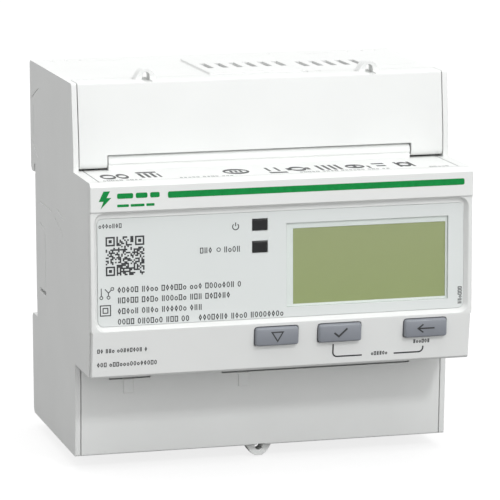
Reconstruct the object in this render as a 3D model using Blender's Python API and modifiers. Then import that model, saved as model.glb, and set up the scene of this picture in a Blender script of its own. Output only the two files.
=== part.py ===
"""A five-module, three-phase smart electric meter that clips onto a 35 mm mounting rail.

Metres, +Z up. X runs across the width, -Y is the front, and the origin is the middle of the
seat that bears on the rail. Sizes below are in millimetres and are scaled where meshes are made.
"""

import math

import bmesh
import bpy
from mathutils import Matrix, Vector

MM = 0.001
GAP = 0.3                      # clearance between neighbouring mouldings
CLOSE_GAP = 0.05               # clearance round a piece that is pressed or bonded into its seat

# Housing
HALF_WIDTH = 45.0              # five modules of 18 mm
TOP = 42.7
BOTTOM = -44.7
SIDE_WALL = 1.25
NOSE_SIDE_WALL = 2.4
END_WALL = 1.8
REAR_WALL = 2.0
SHOULDER_X = HALF_WIDTH - SIDE_WALL
NOSE_X = HALF_WIDTH - NOSE_SIDE_WALL
UPPER_FOOT_BACK = 5.0
LOWER_FOOT_BACK = 6.0
LIP_BOTTOM = 15.9              # the lip that hooks over the rail's upper flange
SLOT_TOP = 17.9
SLOT_DEPTH = 1.4
SEAT_HALF = 15.4               # the part of the back that stands proud and bears on the rail
SEAT_PROUD = 0.25
LOWER_FOOT_TOP = -19.6
COVER_SEAM_Y = -36.9           # where the covers' end walls meet the housing's

# Nose
NOSE_HALF = 22.5
HEADER_FRONT = -63.6
HEADER_BOTTOM = 16.0
RIM_FRONT = -63.2
STRIP_TOP = -11.5
STRIP_FOOT_FRONT = -61.6
BEZEL_DEPTH = 2.2
POCKET_FLOOR = -62.05          # the recess round the panel, whose walls slope out to the rim
POCKET_X = (43.35, 44.15)      # half width at the floor and at the rim
POCKET_TOP = (15.5, 15.65)
POCKET_BOTTOM = (-10.55, -11.45)
PANEL_FRONT = -62.2
PANEL_X = 43.25
PANEL_TOP = 14.2
PANEL_BOTTOM = -10.45
PANEL_CORNER = 1.2
WINDOW = ((0.9, 39.5), (-8.1, 11.25))
CAVITY_FRONT = -59.9

# Terminal covers, which swing on pins near the nose
SIDE_LINES = (                 # Y, Z of each end
    ((-5.4, 36.9), (3.3, 33.7)), ((0.95, 32.1), (0.95, 24.6)), ((4.1, 23.4), (-4.1, 20.0)),
    ((-5.8, 9.5), (-19.7, 9.4)), ((-25.5, 10.9), (-34.0, 9.5)), ((-23.5, 8.4), (-32.5, 5.4)),
    ((-5.9, 4.5), (-11.1, 3.3)), ((-11.1, 2.6), (-11.1, -10.6)),
)
TOP_LINES = (                  # X, Y
    ((-29.9, -23.0), (-2.0, -1.65)), ((22.0, 29.0), (-2.4, -2.05)), ((33.8, 40.9), (-29.6, -29.25)),
    ((11.9, 12.2), (-33.5, -7.4)),
)
TOP_PITS = (-40.9, -37.4, -34.0, 13.2, 33.2, 37.0, 40.1)
UPPER_FRONT, LOWER_FRONT = -45.35, -44.35
UPPER_AXIS = (-43.8, 24.5)     # Y, Z
LOWER_AXIS = (-42.7, -24.5)
UPPER_KNUCKLE = 1.6
LOWER_KNUCKLE = 1.5
COVER_X = SHOULDER_X - 0.2
COVER_WALL = 1.6
PIN_RADIUS = 0.9
SOCKET_RADIUS = 1.1
BARREL_RADIUS = 1.35
NOTCH_LEFT, NOTCH_RIGHT = -37.0, 35.9
LOWER_NOTCHES = ((NOTCH_LEFT, -27.1), (-10.0, NOTCH_RIGHT))
LOWER_NOTCH_Z = -26.6
LUG_X = 26.8
LUG_FRONT, LUG_SPLIT, LUG_BACK = -41.0, -39.6, -37.7
TOP_LUG = ((2.6, -0.8), (2.6, 0.0), (2.3, 0.6), (1.85, 1.4), (1.45, 1.95), (0.8, 2.35))
BOTTOM_LUG = ((3.3, -0.8), (3.25, 0.0), (2.95, 0.7), (2.2, 1.85), (1.6, 2.55), (0.8, 3.0))
SEAL_HOLE_HALF = 0.9
SEAL_HOLE_HEIGHT = 1.75

# Terminals
POLES = {"l1": -30.0, "l2": -10.0, "l3": 10.0, "n": 30.0}
TERMINAL_Z = 31.0
BUSBAR_FRONT, BUSBAR_BACK = -20.2, -18.4
CLAMP_FRONT, CLAMP_BACK = -26.6, -8.0
WIRE_WINDOW = (-19.0, -9.0)    # Y range of a wire entry
SCREW_RADIUS = 2.9

# Operator side
BUTTONS = {"down": -1.8, "ok": 13.2, "esc": 33.8}
BUTTON_Z = -14.5
BUTTON_HALF = (5.1, 2.15)
BUTTON_GAP = 0.18
LEDS = {"status": 11.3, "pulse": 6.2}
LED_X = -5.45
LENS_HALF = (1.8, 1.35)
BOARD_FRONT = -53.8
BOARD_THICKNESS = 1.6

COLOURS = {                    # base colour, roughness, metallic
    "white_plastic": ((0.80, 0.82, 0.81), 0.45, 0.0),
    "panel_plastic": ((0.72, 0.75, 0.74), 0.35, 0.0),
    "key_plastic": ((0.27, 0.29, 0.32), 0.40, 0.0),
    "clear_plastic": ((0.85, 0.88, 0.86), 0.08, 0.0),
    "smoked_plastic": ((0.03, 0.035, 0.035), 0.12, 0.0),
    "lcd_glass": ((0.31, 0.37, 0.17), 0.15, 0.0),
    "light_guide": ((0.85, 0.86, 0.80), 0.30, 0.0),
    "grey_plastic": ((0.45, 0.47, 0.48), 0.50, 0.0),
    "black_plastic": ((0.03, 0.03, 0.032), 0.45, 0.0),
    "board": ((0.03, 0.16, 0.07), 0.40, 0.0),
    "copper": ((0.78, 0.43, 0.28), 0.30, 1.0),
    "zinc_steel": ((0.62, 0.62, 0.60), 0.35, 1.0),
    "spring_steel": ((0.45, 0.45, 0.46), 0.30, 1.0),
    "ferrite": ((0.06, 0.06, 0.065), 0.55, 0.0),
    "blue_epoxy": ((0.03, 0.12, 0.33), 0.35, 0.0),
}


# Scene and collections

def clear_scene():
    for obj in list(bpy.data.objects):
        bpy.data.objects.remove(obj, do_unlink=True)


def new_collection(name):
    collection = bpy.data.collections.new(name)
    bpy.context.scene.collection.children.link(collection)
    return collection


def make_materials():
    made = {}
    for name, (colour, roughness, metallic) in COLOURS.items():
        material = bpy.data.materials.new(name)
        material.use_nodes = True
        shader = material.node_tree.nodes["Principled BSDF"]
        shader.inputs["Base Color"].default_value = (*colour, 1.0)
        shader.inputs["Roughness"].default_value = roughness
        shader.inputs["Metallic"].default_value = metallic
        made[name] = material
    return made


clear_scene()
PARTS = new_collection("smart_electric_meter")
CUTTERS = new_collection("cutters")
MATERIALS = make_materials()


# Basic solids, all made as helpers first: finish() turns one into a part

def add_object(name, mesh):
    obj = bpy.data.objects.new(name, mesh)
    CUTTERS.objects.link(obj)
    obj.hide_render = True
    obj.display_type = "WIRE"
    return obj


def from_bmesh(name, bm, centre):
    """An object at centre whose mesh was built around its own origin, in millimetres."""
    bmesh.ops.scale(bm, vec=Vector((MM, MM, MM)), verts=bm.verts)
    mesh = bpy.data.meshes.new(name)
    bm.to_mesh(mesh)
    bm.free()
    obj = add_object(name, mesh)
    obj.location = Vector(centre) * MM
    return obj


def block(name, x, y, z, bevel=0.0, segments=2):
    """A box between the two limits given for each axis."""
    size = Vector((x[1] - x[0], y[1] - y[0], z[1] - z[0]))
    bm = bmesh.new()
    bmesh.ops.create_cube(bm, size=1.0)
    bmesh.ops.scale(bm, vec=size, verts=bm.verts)
    obj = from_bmesh(name, bm, ((x[0] + x[1]) / 2, (y[0] + y[1]) / 2, (z[0] + z[1]) / 2))
    if bevel:
        round_edges(obj, bevel, segments)
    return obj


def rod(name, start, end, radius, sides=24):
    """A cylinder from one point to another."""
    start, end = Vector(start), Vector(end)
    along = end - start
    turn = along.to_track_quat("Z", "Y").to_matrix().to_4x4()
    bm = bmesh.new()
    bmesh.ops.create_cone(
        bm, cap_ends=True, segments=sides, radius1=radius, radius2=radius,
        depth=along.length, matrix=turn,
    )
    return from_bmesh(name, bm, (start + end) / 2)


# Local X, Y, Z of a flat outline, as columns in the part's frame, by the axis it is extruded on
OUTLINE_FRAMES = {
    "X": Matrix(((0, 0, 1, 0), (1, 0, 0, 0), (0, 1, 0, 0), (0, 0, 0, 1))),
    "Y": Matrix(((1, 0, 0, 0), (0, 0, -1, 0), (0, 1, 0, 0), (0, 0, 0, 1))),
    "Z": Matrix.Identity(4),
}


def slab(name, outline, axis, low, high):
    """A flat outline extruded along an axis: (Y, Z) points on X, (X, Z) on Y, (X, Y) on Z."""
    curve = bpy.data.curves.new(name, "CURVE")
    curve.dimensions = "2D"
    curve.fill_mode = "BOTH"
    curve.extrude = (high - low) / 2 * MM
    spline = curve.splines.new("POLY")
    spline.points.add(len(outline) - 1)
    for point, (u, v) in zip(spline.points, outline):
        point.co = (u * MM, v * MM, 0.0, 1.0)
    spline.use_cyclic_u = True
    drawn = bpy.data.objects.new(name, curve)
    CUTTERS.objects.link(drawn)
    bpy.context.view_layer.update()
    mesh = bpy.data.meshes.new_from_object(
        drawn.evaluated_get(bpy.context.evaluated_depsgraph_get())
    )
    bpy.data.objects.remove(drawn, do_unlink=True)
    bm = bmesh.new()
    bm.from_mesh(mesh)
    bmesh.ops.remove_doubles(bm, verts=bm.verts, dist=1e-6)
    bmesh.ops.transform(bm, matrix=OUTLINE_FRAMES[axis], verts=bm.verts)
    bmesh.ops.recalc_face_normals(bm, faces=bm.faces)
    bm.to_mesh(mesh)
    bm.free()
    obj = add_object(name, mesh)
    obj.location["XYZ".index(axis)] = (low + high) / 2 * MM
    return obj


def stacked(name, rings):
    """A solid through outlines of equal length at successive Y, each given as (Y, outline in X and Z)."""
    bm = bmesh.new()
    made = [[bm.verts.new((x, y, z)) for x, z in outline] for y, outline in rings]
    for lower, upper in zip(made, made[1:]):
        for i in range(len(lower)):
            j = (i + 1) % len(lower)
            bm.faces.new((lower[i], lower[j], upper[j], upper[i]))
    bm.faces.new(made[0])
    bm.faces.new(made[-1])
    bmesh.ops.recalc_face_normals(bm, faces=bm.faces)
    return from_bmesh(name, bm, (0, 0, 0))


def arc(centre, radius, start, end, steps):
    """Points along a circle, from one angle to another in degrees."""
    points = []
    for step in range(steps + 1):
        angle = math.radians(start + (end - start) * step / steps)
        points.append((centre[0] + radius * math.cos(angle), centre[1] + radius * math.sin(angle)))
    return points


def rounded_rectangle(x, z, radius, steps=4):
    corners = (
        ((x[1] - radius, z[1] - radius), 0),
        ((x[0] + radius, z[1] - radius), 90),
        ((x[0] + radius, z[0] + radius), 180),
        ((x[1] - radius, z[0] + radius), 270),
    )
    points = []
    for centre, start in corners:
        points += arc(centre, radius, start, start + 90, steps)
    return points


def round_edges(obj, width, segments=2):
    bevel = obj.modifiers.new("Rounded edges", "BEVEL")
    bevel.width = width * MM
    bevel.segments = segments
    bevel.limit_method = "ANGLE"
    bevel.angle_limit = math.radians(40)


def combine(target, operation, pieces):
    for piece in pieces:
        modifier = target.modifiers.new(f"{operation.title()} {piece.name}", "BOOLEAN")
        modifier.operation = operation
        modifier.object = piece
        modifier.solver = "EXACT"


def fuse(target, *pieces):
    combine(target, "UNION", pieces)


def cut(target, *pieces):
    combine(target, "DIFFERENCE", pieces)


def finish(obj, name, material, origin=None):
    """Moves a helper to the parts, names it, and puts its origin on origin (mm) if one is given."""
    CUTTERS.objects.unlink(obj)
    PARTS.objects.link(obj)
    obj.name = name
    obj.data.name = name
    obj.hide_render = False
    obj.display_type = "TEXTURED"
    obj.data.materials.clear()
    obj.data.materials.append(MATERIALS[material])
    if origin is not None:
        shift = obj.location - Vector(origin) * MM
        obj.data.transform(Matrix.Translation(shift))
        obj.location = Vector(origin) * MM
    return obj


def shade_round(obj):
    obj.data.shade_smooth()
    obj.data.set_sharp_from_angle(angle=math.radians(35))


# Shared outlines

def leaning_front(base, low, high, lean, corner):
    """(Y, Z) points up a shoulder's front edge: upright to low, leaning back to high, then a round corner."""
    points = [(base, low), (base + lean, high)]
    out = math.copysign(1.0, high)
    for degrees in (150, 120, 90):
        angle = math.radians(degrees)
        y = base + lean + corner + corner * math.cos(angle)
        points.append((y, high + out * corner * math.sin(angle)))
    return points


def upper_front():
    return leaning_front(UPPER_FRONT, 28.2, TOP - 0.6, 1.3, 0.6)


def lower_front():
    return leaning_front(LOWER_FRONT, -28.2, BOTTOM + 0.5, 1.0, 0.5)


def lug_outline(x, wall, outwards):
    """A tapering sealing lug standing on an end wall: outwards is +1 above the top, -1 below."""
    half = TOP_LUG if outwards > 0 else BOTTOM_LUG
    right = [(x + offset, wall + outwards * rise) for offset, rise in half]
    left = [(x - offset, wall + outwards * rise) for offset, rise in reversed(half)]
    return right + left


def seal_lug(x, wall, outwards, y):
    return slab("lug", lug_outline(x, wall, outwards), "Y", *y)


def seal_hole(x, wall, outwards):
    """The arched hole through a pair of lugs, for the sealing wire."""
    spring = wall + outwards * (SEAL_HOLE_HEIGHT - SEAL_HOLE_HALF)
    arch = [(x + SEAL_HOLE_HALF, wall - outwards * 0.3)]
    for degrees in range(0, 181, 30):
        angle = math.radians(degrees)
        across, rise = SEAL_HOLE_HALF * math.cos(angle), SEAL_HOLE_HALF * math.sin(angle)
        arch.append((x + across, spring + outwards * rise))
    arch.append((x - SEAL_HOLE_HALF, wall - outwards * 0.3))
    return slab("seal_hole", arch, "Y", -44.0, LUG_BACK + 0.6)


def seal_lugs(body, cover, wall, outwards, places):
    """A lug on the cover and one behind it on the housing, on a tongue in a notch of the cover."""
    half = max(offset for offset, _ in (TOP_LUG if outwards > 0 else BOTTOM_LUG))
    for x in places:
        root = sorted((wall - outwards * END_WALL, wall - outwards * 0.05))
        clear = sorted((wall - outwards * 5.0, wall + outwards * 5.0))
        back = LUG_SPLIT + 0.15
        tongue = block("tongue", (x - half, x + half), (back, COVER_SEAM_Y + 1.0), root)
        fuse(body, tongue, seal_lug(x, wall, outwards, (back, LUG_BACK)))
        cut(body, seal_hole(x, wall, outwards))
        cut(cover, block("tongue_notch", (x - half - 0.2, x + half + 0.2), (LUG_SPLIT, -30.0), clear))
        fuse(cover, seal_lug(x, wall, outwards, (LUG_FRONT, LUG_SPLIT)))
        cut(cover, seal_hole(x, wall, outwards))


# Housing

def housing_outline():
    outline = [(UPPER_FOOT_BACK - 0.8, TOP), (UPPER_FOOT_BACK, TOP - 0.8)]
    outline += [(UPPER_FOOT_BACK, LIP_BOTTOM + 1.0), (UPPER_FOOT_BACK - 1.0, LIP_BOTTOM)]
    outline += [(SLOT_DEPTH, LIP_BOTTOM), (SLOT_DEPTH, SLOT_TOP), (-SEAT_PROUD, SLOT_TOP)]
    outline += [(-SEAT_PROUD, SEAT_HALF), (0.0, SEAT_HALF)]
    outline += [(0.0, -SEAT_HALF), (-SEAT_PROUD, -SEAT_HALF)]
    outline += [(-SEAT_PROUD, LOWER_FOOT_TOP), (LOWER_FOOT_BACK - 1.0, LOWER_FOOT_TOP)]
    outline += [(LOWER_FOOT_BACK, LOWER_FOOT_TOP - 1.0), (LOWER_FOOT_BACK, BOTTOM + 1.0)]
    outline += [(LOWER_FOOT_BACK - 1.0, BOTTOM)]
    outline += reversed(lower_front())
    outline += [(LOWER_FRONT, -NOSE_HALF), (-59.7, -NOSE_HALF), (-61.1, STRIP_TOP), (-61.1, NOSE_HALF)]
    outline += [(UPPER_FRONT, NOSE_HALF)]
    outline += upper_front()
    return outline


def cut_housing_cavities(body):
    front = (-70.0, -REAR_WALL)
    inner_top, inner_bottom = TOP - END_WALL, BOTTOM + END_WALL
    upper = block("cavity_upper", (-SHOULDER_X, SHOULDER_X), front, (NOSE_HALF, inner_top))
    lower = block("cavity_lower", (-SHOULDER_X, SHOULDER_X), front, (inner_bottom, -NOSE_HALF))
    middle = block("cavity_middle", (-NOSE_X, NOSE_X), front, (-NOSE_HALF - 1.0, NOSE_HALF + 1.0))
    upper_foot = block("cavity_upper_foot", (-SHOULDER_X, SHOULDER_X), (-3.0, 3.2), (20.0, inner_top))
    cut(body, upper, lower, middle, upper_foot)
    for side in (-1, 1):
        x = sorted((side * 14.0, side * SHOULDER_X))
        cut(body, block("cavity_lower_foot", x, (-3.0, 4.2), (inner_bottom, -21.6)))
    for z in ((35.0, 60.0), (-60.0, -35.0)):
        opening = block("cover_opening", (-SHOULDER_X, SHOULDER_X), (-70.0, COVER_SEAM_Y), z)
        cut(body, opening)


def cut_wire_entries(body):
    """Open entries below. Above, the wall is thinned from inside so that it can be broken out."""
    for name, x in POLES.items():
        cut(body, block(f"entry_{name}", (x - 5, x + 5), WIRE_WINDOW, (-50.0, -40.0), 1.2))
        cut(body, block(f"breakout_{name}", (x - 5, x + 5), WIRE_WINDOW, (38.0, TOP - 0.7)))


def add_vent_plate(body):
    plate = block("vent_plate", (-10.6, 11.8), (-36.6, -8.0), (TOP - 0.5, TOP + 0.5))
    fuse(body, plate)
    for first, pitch, count, y in ((-8.0, 3.55, 6, (-28.0, -18.6)), (15.9, 3.35, 5, (-26.6, -16.8))):
        for step in range(count):
            x = first + step * pitch
            cut(body, block("vent", (x - 0.75, x + 0.75), y, (38.0, 46.0)))
    for x, y in (((11.9, 13.3), (-38.0, -35.4)), ((15.1, 16.4), (-38.0, -35.8))):
        cut(body, block("catch_notch", x, y, (TOP - 0.9, 46.0)))


def cut_latch_channel(body):
    channel = block("latch_channel", (-10.3, 10.3), (1.2, 9.0), (-50.0, -18.0))
    groove = block("latch_groove", (-11.8, 11.8), (2.0, 4.0), (-50.0, -18.0))
    cut(body, channel, groove)
    fuse(body, block("spring_stop", (-2.2, 2.2), (0.8, 4.6), (-41.6, -39.6)))


def cut_hinge_sockets(body):
    for y, z in (UPPER_AXIS, LOWER_AXIS):
        for side in (-1, 1):
            start = (side * (SHOULDER_X - 1.0), y, z)
            cut(body, rod("socket", start, (side * (HALF_WIDTH - 0.4), y, z), SOCKET_RADIUS, 16))


def cut_side_slots(body):
    for side in (-1, 1):
        x = sorted((side * (NOSE_X - 1.0), side * (HALF_WIDTH + 1.0)))
        cut(body, block("side_slot", x, (-11.5, -4.5), (-12.6, -11.6)))


def groove_outline(start, end, width):
    """The four corners of a straight groove between two points."""
    along = (Vector(end) - Vector(start)).normalized()
    across = Vector((-along.y, along.x)) * width / 2
    corners = (Vector(start) + across, Vector(end) + across, Vector(end) - across, Vector(start) - across)
    return [tuple(corner) for corner in corners]


def cut_moulding_lines(body):
    """Shallow witness lines on both sides, and pits and lines on the top towards the rear."""
    for start, end in SIDE_LINES:
        outline = groove_outline(start, end, 0.3)
        for low, high in ((-HALF_WIDTH - 1.0, -HALF_WIDTH + 0.15), (HALF_WIDTH - 0.15, HALF_WIDTH + 1.0)):
            cut(body, slab("side_line", outline, "X", low, high))
    for x, y in TOP_LINES:
        cut(body, block("top_line", x, y, (TOP - 0.25, TOP + 2.0)))
    for x in TOP_PITS:
        cut(body, block("top_pit", (x, x + 0.8), (-0.2, 0.9), (TOP - 0.25, TOP + 2.0)))


def make_housing():
    body = slab("housing", housing_outline(), "X", -HALF_WIDTH, HALF_WIDTH)
    cut_housing_cavities(body)
    cut_wire_entries(body)
    add_vent_plate(body)
    cut_latch_channel(body)
    cut_hinge_sockets(body)
    cut_side_slots(body)
    cut_moulding_lines(body)
    return finish(body, "housing", "white_plastic")


# Front frame and what sits in it

def bezel_outline():
    back = HEADER_FRONT + BEZEL_DEPTH
    return [
        (back, NOSE_HALF), (HEADER_FRONT + 0.9, NOSE_HALF), (HEADER_FRONT, NOSE_HALF - 0.9),
        (HEADER_FRONT, HEADER_BOTTOM), (RIM_FRONT, HEADER_BOTTOM - 0.2), (RIM_FRONT, STRIP_TOP),
        (STRIP_FOOT_FRONT, -NOSE_HALF + 0.5), (STRIP_FOOT_FRONT + 0.5, -NOSE_HALF),
        (STRIP_FOOT_FRONT + 1.6, -NOSE_HALF), (back, STRIP_TOP),
    ]


def panel_pocket():
    """The recess for the printed panel, with walls that slope out to the rim, and the panel's own seat."""
    rings = []
    for y, end, radius in ((POCKET_FLOOR, 0, 1.5), (RIM_FRONT, 1, 2.2), (-66.0, 1, 2.2)):
        x, z = (-POCKET_X[end], POCKET_X[end]), (POCKET_BOTTOM[end], POCKET_TOP[end])
        rings.append((y, rounded_rectangle(x, z, radius)))
    x = (-PANEL_X - CLOSE_GAP, PANEL_X + CLOSE_GAP)
    z = (PANEL_BOTTOM - CLOSE_GAP, PANEL_TOP + CLOSE_GAP)
    seat = rounded_rectangle(x, z, PANEL_CORNER + CLOSE_GAP)
    return stacked("panel_pocket", rings), slab("panel_seat", seat, "Y", -66.0, PANEL_FRONT + 1.05)


def inset_outline():
    """The block that fills the housing's nose, behind the bezel."""
    return [
        (-62.4, NOSE_HALF), (-42.6, NOSE_HALF), (-42.6, 10.0), (-41.5, -10.0), (-41.5, -NOSE_HALF),
        (STRIP_FOOT_FRONT + 1.0, -NOSE_HALF), (-62.4, STRIP_TOP),
    ]


def make_front_frame():
    frame = slab("front_frame", bezel_outline(), "X", -HALF_WIDTH, HALF_WIDTH)
    inset = NOSE_X - GAP
    fuse(frame, slab("inset", inset_outline(), "X", -inset, inset))
    inner = NOSE_HALF - 1.6
    cut(frame, block("inner", (1.6 - inset, inset - 1.6), (CAVITY_FRONT, -38.0), (-inner, inner)))
    cut(frame, *panel_pocket())
    cut(frame, block("panel_opening", (-40.5, 40.5), (-66.0, -55.0), (-8.6, 12.95)))
    for side in (-1, 1):
        x = sorted((side * (HALF_WIDTH - 0.28), side * (HALF_WIDTH + 1.0)))
        cut(frame, block("strip_inset", x, (-66.0, -55.0), (-30.0, STRIP_TOP - 0.1)))
    for name, x in BUTTONS.items():
        half_x, half_z = BUTTON_HALF[0] + BUTTON_GAP, BUTTON_HALF[1] + BUTTON_GAP
        hole = rounded_rectangle(
            (x - half_x, x + half_x), (BUTTON_Z - half_z, BUTTON_Z + half_z), 0.7, 2)
        cut(frame, slab(f"hole_{name}", hole, "Y", -66.0, -55.0))
    add_hinge_barrels(frame)
    finish(frame, "front_frame", "white_plastic")


def barrel_outline(axis, radius):
    """A strip rooted in the frame, rounded about a hinge line and flattened to front at its face."""
    y, z = axis
    up = math.copysign(1.0, z)
    root = up * (NOSE_HALF - 0.5)
    front, back = y - BARREL_RADIUS, y + BARREL_RADIUS - 0.5
    start = math.degrees(math.acos(-BARREL_RADIUS / radius))
    curve = arc(axis, radius, up * start, up * 50, 8)
    steps = ((0.0, 1.1), (0.2, 0.95), (0.2, 0.6), (0.0, 0.55))
    groove = [(front + depth, z - up * below) for depth, below in steps]
    return [(front, root), *(groove if up > 0 else []), *curve, (back, root)]


def add_hinge_barrels(frame):
    """Fixed strips on the hinge lines, which the covers' feet and knuckle stand between."""
    outline = barrel_outline(UPPER_AXIS, BARREL_RADIUS + 0.001)
    fuse(frame, slab("barrel", outline, "X", NOTCH_LEFT + GAP, NOTCH_RIGHT - GAP))
    for left, right in LOWER_NOTCHES:
        fuse(frame, slab("barrel", barrel_outline(LOWER_AXIS, 2.3), "X", left + GAP, right - GAP))


def make_front_panel():
    rings = []
    for y, inset in ((PANEL_FRONT + 1.0, 0.0), (PANEL_FRONT + 0.04, 0.0), (PANEL_FRONT, 0.04)):
        x, z = (inset - PANEL_X, PANEL_X - inset), (PANEL_BOTTOM + inset, PANEL_TOP - inset)
        rings.append((y, rounded_rectangle(x, z, PANEL_CORNER - inset)))
    panel = stacked("panel", rings)
    (left, right), (low, high) = WINDOW
    x, z = (left - CLOSE_GAP, right + CLOSE_GAP), (low - CLOSE_GAP, high + CLOSE_GAP)
    cut(panel, block("window_hole", x, (-66.0, -55.0), z))
    half_x, half_z = LENS_HALF[0] + CLOSE_GAP, LENS_HALF[1] + CLOSE_GAP
    for led_z in LEDS.values():
        x, z = (LED_X - half_x, LED_X + half_x), (led_z - half_z, led_z + half_z)
        cut(panel, block("led_hole", x, (-66.0, -55.0), z))
    finish(panel, "front_panel", "panel_plastic")


def make_display():
    window = block("window", WINDOW[0], (PANEL_FRONT, PANEL_FRONT + 0.5), WINDOW[1], 0.04, 1)
    finish(window, "display_window", "clear_plastic")
    lcd = block("lcd", (0.9, 39.9), (-60.4, -58.0), (-8.3, 12.2))
    fuse(lcd, block("lcd_glass", (1.1, 39.3), (PANEL_FRONT + 0.65, -60.0), (-7.9, 11.0)))
    finish(lcd, "lcd_panel", "lcd_glass")
    guide = block("guide", (1.4, 39.4), (-57.7, BOARD_FRONT - GAP), (-8.0, 11.8), 0.3, 1)
    finish(guide, "lcd_backlight", "light_guide")


def make_indicators():
    half_x, half_z = LENS_HALF
    for name, z in LEDS.items():
        x = (LED_X - half_x, LED_X + half_x)
        lens = block("lens", x, (-62.35, -55.2), (z - half_z, z + half_z), 0.2, 1)
        finish(lens, f"{name}_lens", "smoked_plastic")
        led = block("led", (LED_X - 1.0, LED_X + 1.0), (-54.9, BOARD_FRONT - 0.1), (z - 0.6, z + 0.6))
        finish(led, f"{name}_led", "light_guide")


def make_button(name, x):
    """A key: its cap stands in the frame's hole, and its flange keeps it from falling out."""
    half_x, half_z = BUTTON_HALF
    low, high = BUTTON_Z - half_z, BUTTON_Z + half_z
    cap = block("cap", (x - half_x, x + half_x), (-64.0, -59.4), (low, high), 0.65, 3)
    flange = block("flange", (x - half_x - 1.0, x + half_x + 1.0), (-59.6, -58.9), (low - 0.9, high + 0.9))
    fuse(cap, flange)
    finish(cap, f"button_{name}", "key_plastic", (x, -64.0, BUTTON_Z))


def make_switch(name, x):
    """A tact switch on the display board, with its plunger as a separate piece."""
    body = block("switch", (x - 3, x + 3), (-57.6, BOARD_FRONT - 0.1), (BUTTON_Z - 3, BUTTON_Z + 3), 0.3, 1)
    cut(body, rod("plunger_hole", (x, -59.0, BUTTON_Z), (x, -55.4, BUTTON_Z), 1.9, 16))
    finish(body, f"switch_{name}", "black_plastic")
    plunger = rod("plunger", (x, -58.6, BUTTON_Z), (x, -56.3, BUTTON_Z), 1.6, 16)
    finish(plunger, f"plunger_{name}", "grey_plastic", (x, -58.6, BUTTON_Z))
    shade_round(plunger)


# Terminal covers

def cover_section(front, axis, knuckle, end, seam_y):
    """Cross-section of a cover: front wall, end wall and a round knuckle about the hinge axis."""
    y, z = axis
    up = math.copysign(1.0, z)
    (y0, z0), (y1, z1) = front[:2]
    inner = [(y0 + 0.85 * (y1 - y0) + COVER_WALL, z0 + 0.85 * (z1 - z0)), (y0 + COVER_WALL, z0)]
    section = list(front)
    section += [(seam_y, end), (seam_y, end - up * COVER_WALL)]
    section += [(inner[0][0] + 0.3, end - up * COVER_WALL), *inner]
    section += [(y + 0.1, z + up * 3.0), (y + knuckle, z + up * 0.9)]
    start, stop = (0, -180) if up > 0 else (0, 180)
    section += arc((y, z), knuckle, start, stop, 8)
    return section


def hinge_pins(cover, axis):
    y, z = axis
    for side in (-1, 1):
        start = (side * (COVER_X - 1.0), y, z)
        fuse(cover, rod("pin", start, (side * (SHOULDER_X + 0.7), y, z), PIN_RADIUS, 16))


def make_upper_cover():
    section = cover_section(upper_front(), UPPER_AXIS, UPPER_KNUCKLE, TOP, COVER_SEAM_Y - GAP)
    cover = slab("upper_cover", section, "X", -COVER_X, COVER_X)
    notch_top = UPPER_AXIS[1] + UPPER_KNUCKLE
    cut(cover, block("notch", (NOTCH_LEFT, NOTCH_RIGHT), (-50.0, -40.0), (20.0, notch_top)))
    hinge_pins(cover, UPPER_AXIS)
    return finish(cover, "upper_cover", "white_plastic", (0.0, *UPPER_AXIS))


def make_lower_cover():
    section = cover_section(lower_front(), LOWER_AXIS, LOWER_KNUCKLE, BOTTOM, COVER_SEAM_Y - GAP)
    cover = slab("lower_cover", section, "X", -COVER_X, COVER_X)
    lip = -LOWER_NOTCH_Z
    notch = [(-50.0, -lip), (LOWER_FRONT, -lip), (-43.6, -lip - 0.3), (-42.4, -lip - 0.8), (-38.0, -lip - 0.8),
             (-38.0, -15.0), (-50.0, -15.0)]
    for left, right in LOWER_NOTCHES:
        cut(cover, slab("notch", notch, "X", left, right))
    for x in (-33.6, -6.0):
        fuse(cover, block("rib", (x, x + 2.4), (LOWER_FRONT - 0.22, -43.3), (-30.0, -lip - 0.1), 0.08, 1))
    hinge_pins(cover, LOWER_AXIS)
    return finish(cover, "lower_cover", "white_plastic", (0.0, *LOWER_AXIS))


# Terminals

def make_shroud(name, up, end):
    """The moulding that covers the terminals, with a screw hole and a pocket for each pole."""
    half = SHOULDER_X - GAP
    floor = sorted((up * (NOSE_HALF + GAP), up * 24.2))
    pocket = sorted((up * 23.5, end))
    shroud = block("shroud", (-half, half), (-40.8, -39.0), sorted((up * (NOSE_HALF + GAP), end)))
    fuse(shroud, block("floor", (-half, half), (-39.5, -3.0), floor))
    for x in (-20.0, 0.0, 20.0):
        fuse(shroud, block("rib", (x - 0.8, x + 0.8), (-39.5, -4.0), pocket))
    for pole, x in POLES.items():
        z = up * TERMINAL_Z
        cut(shroud, rod(f"screw_hole_{pole}", (x, -42.0, z), (x, -38.0, z), 3.8, 20))
        cut(shroud, block(f"bar_slot_{pole}", (x - 4, x + 4), (-21.0, -2.0), (min(floor) - 1, max(floor) + 1)))
    finish(shroud, f"{name}_shroud", "grey_plastic")


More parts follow.
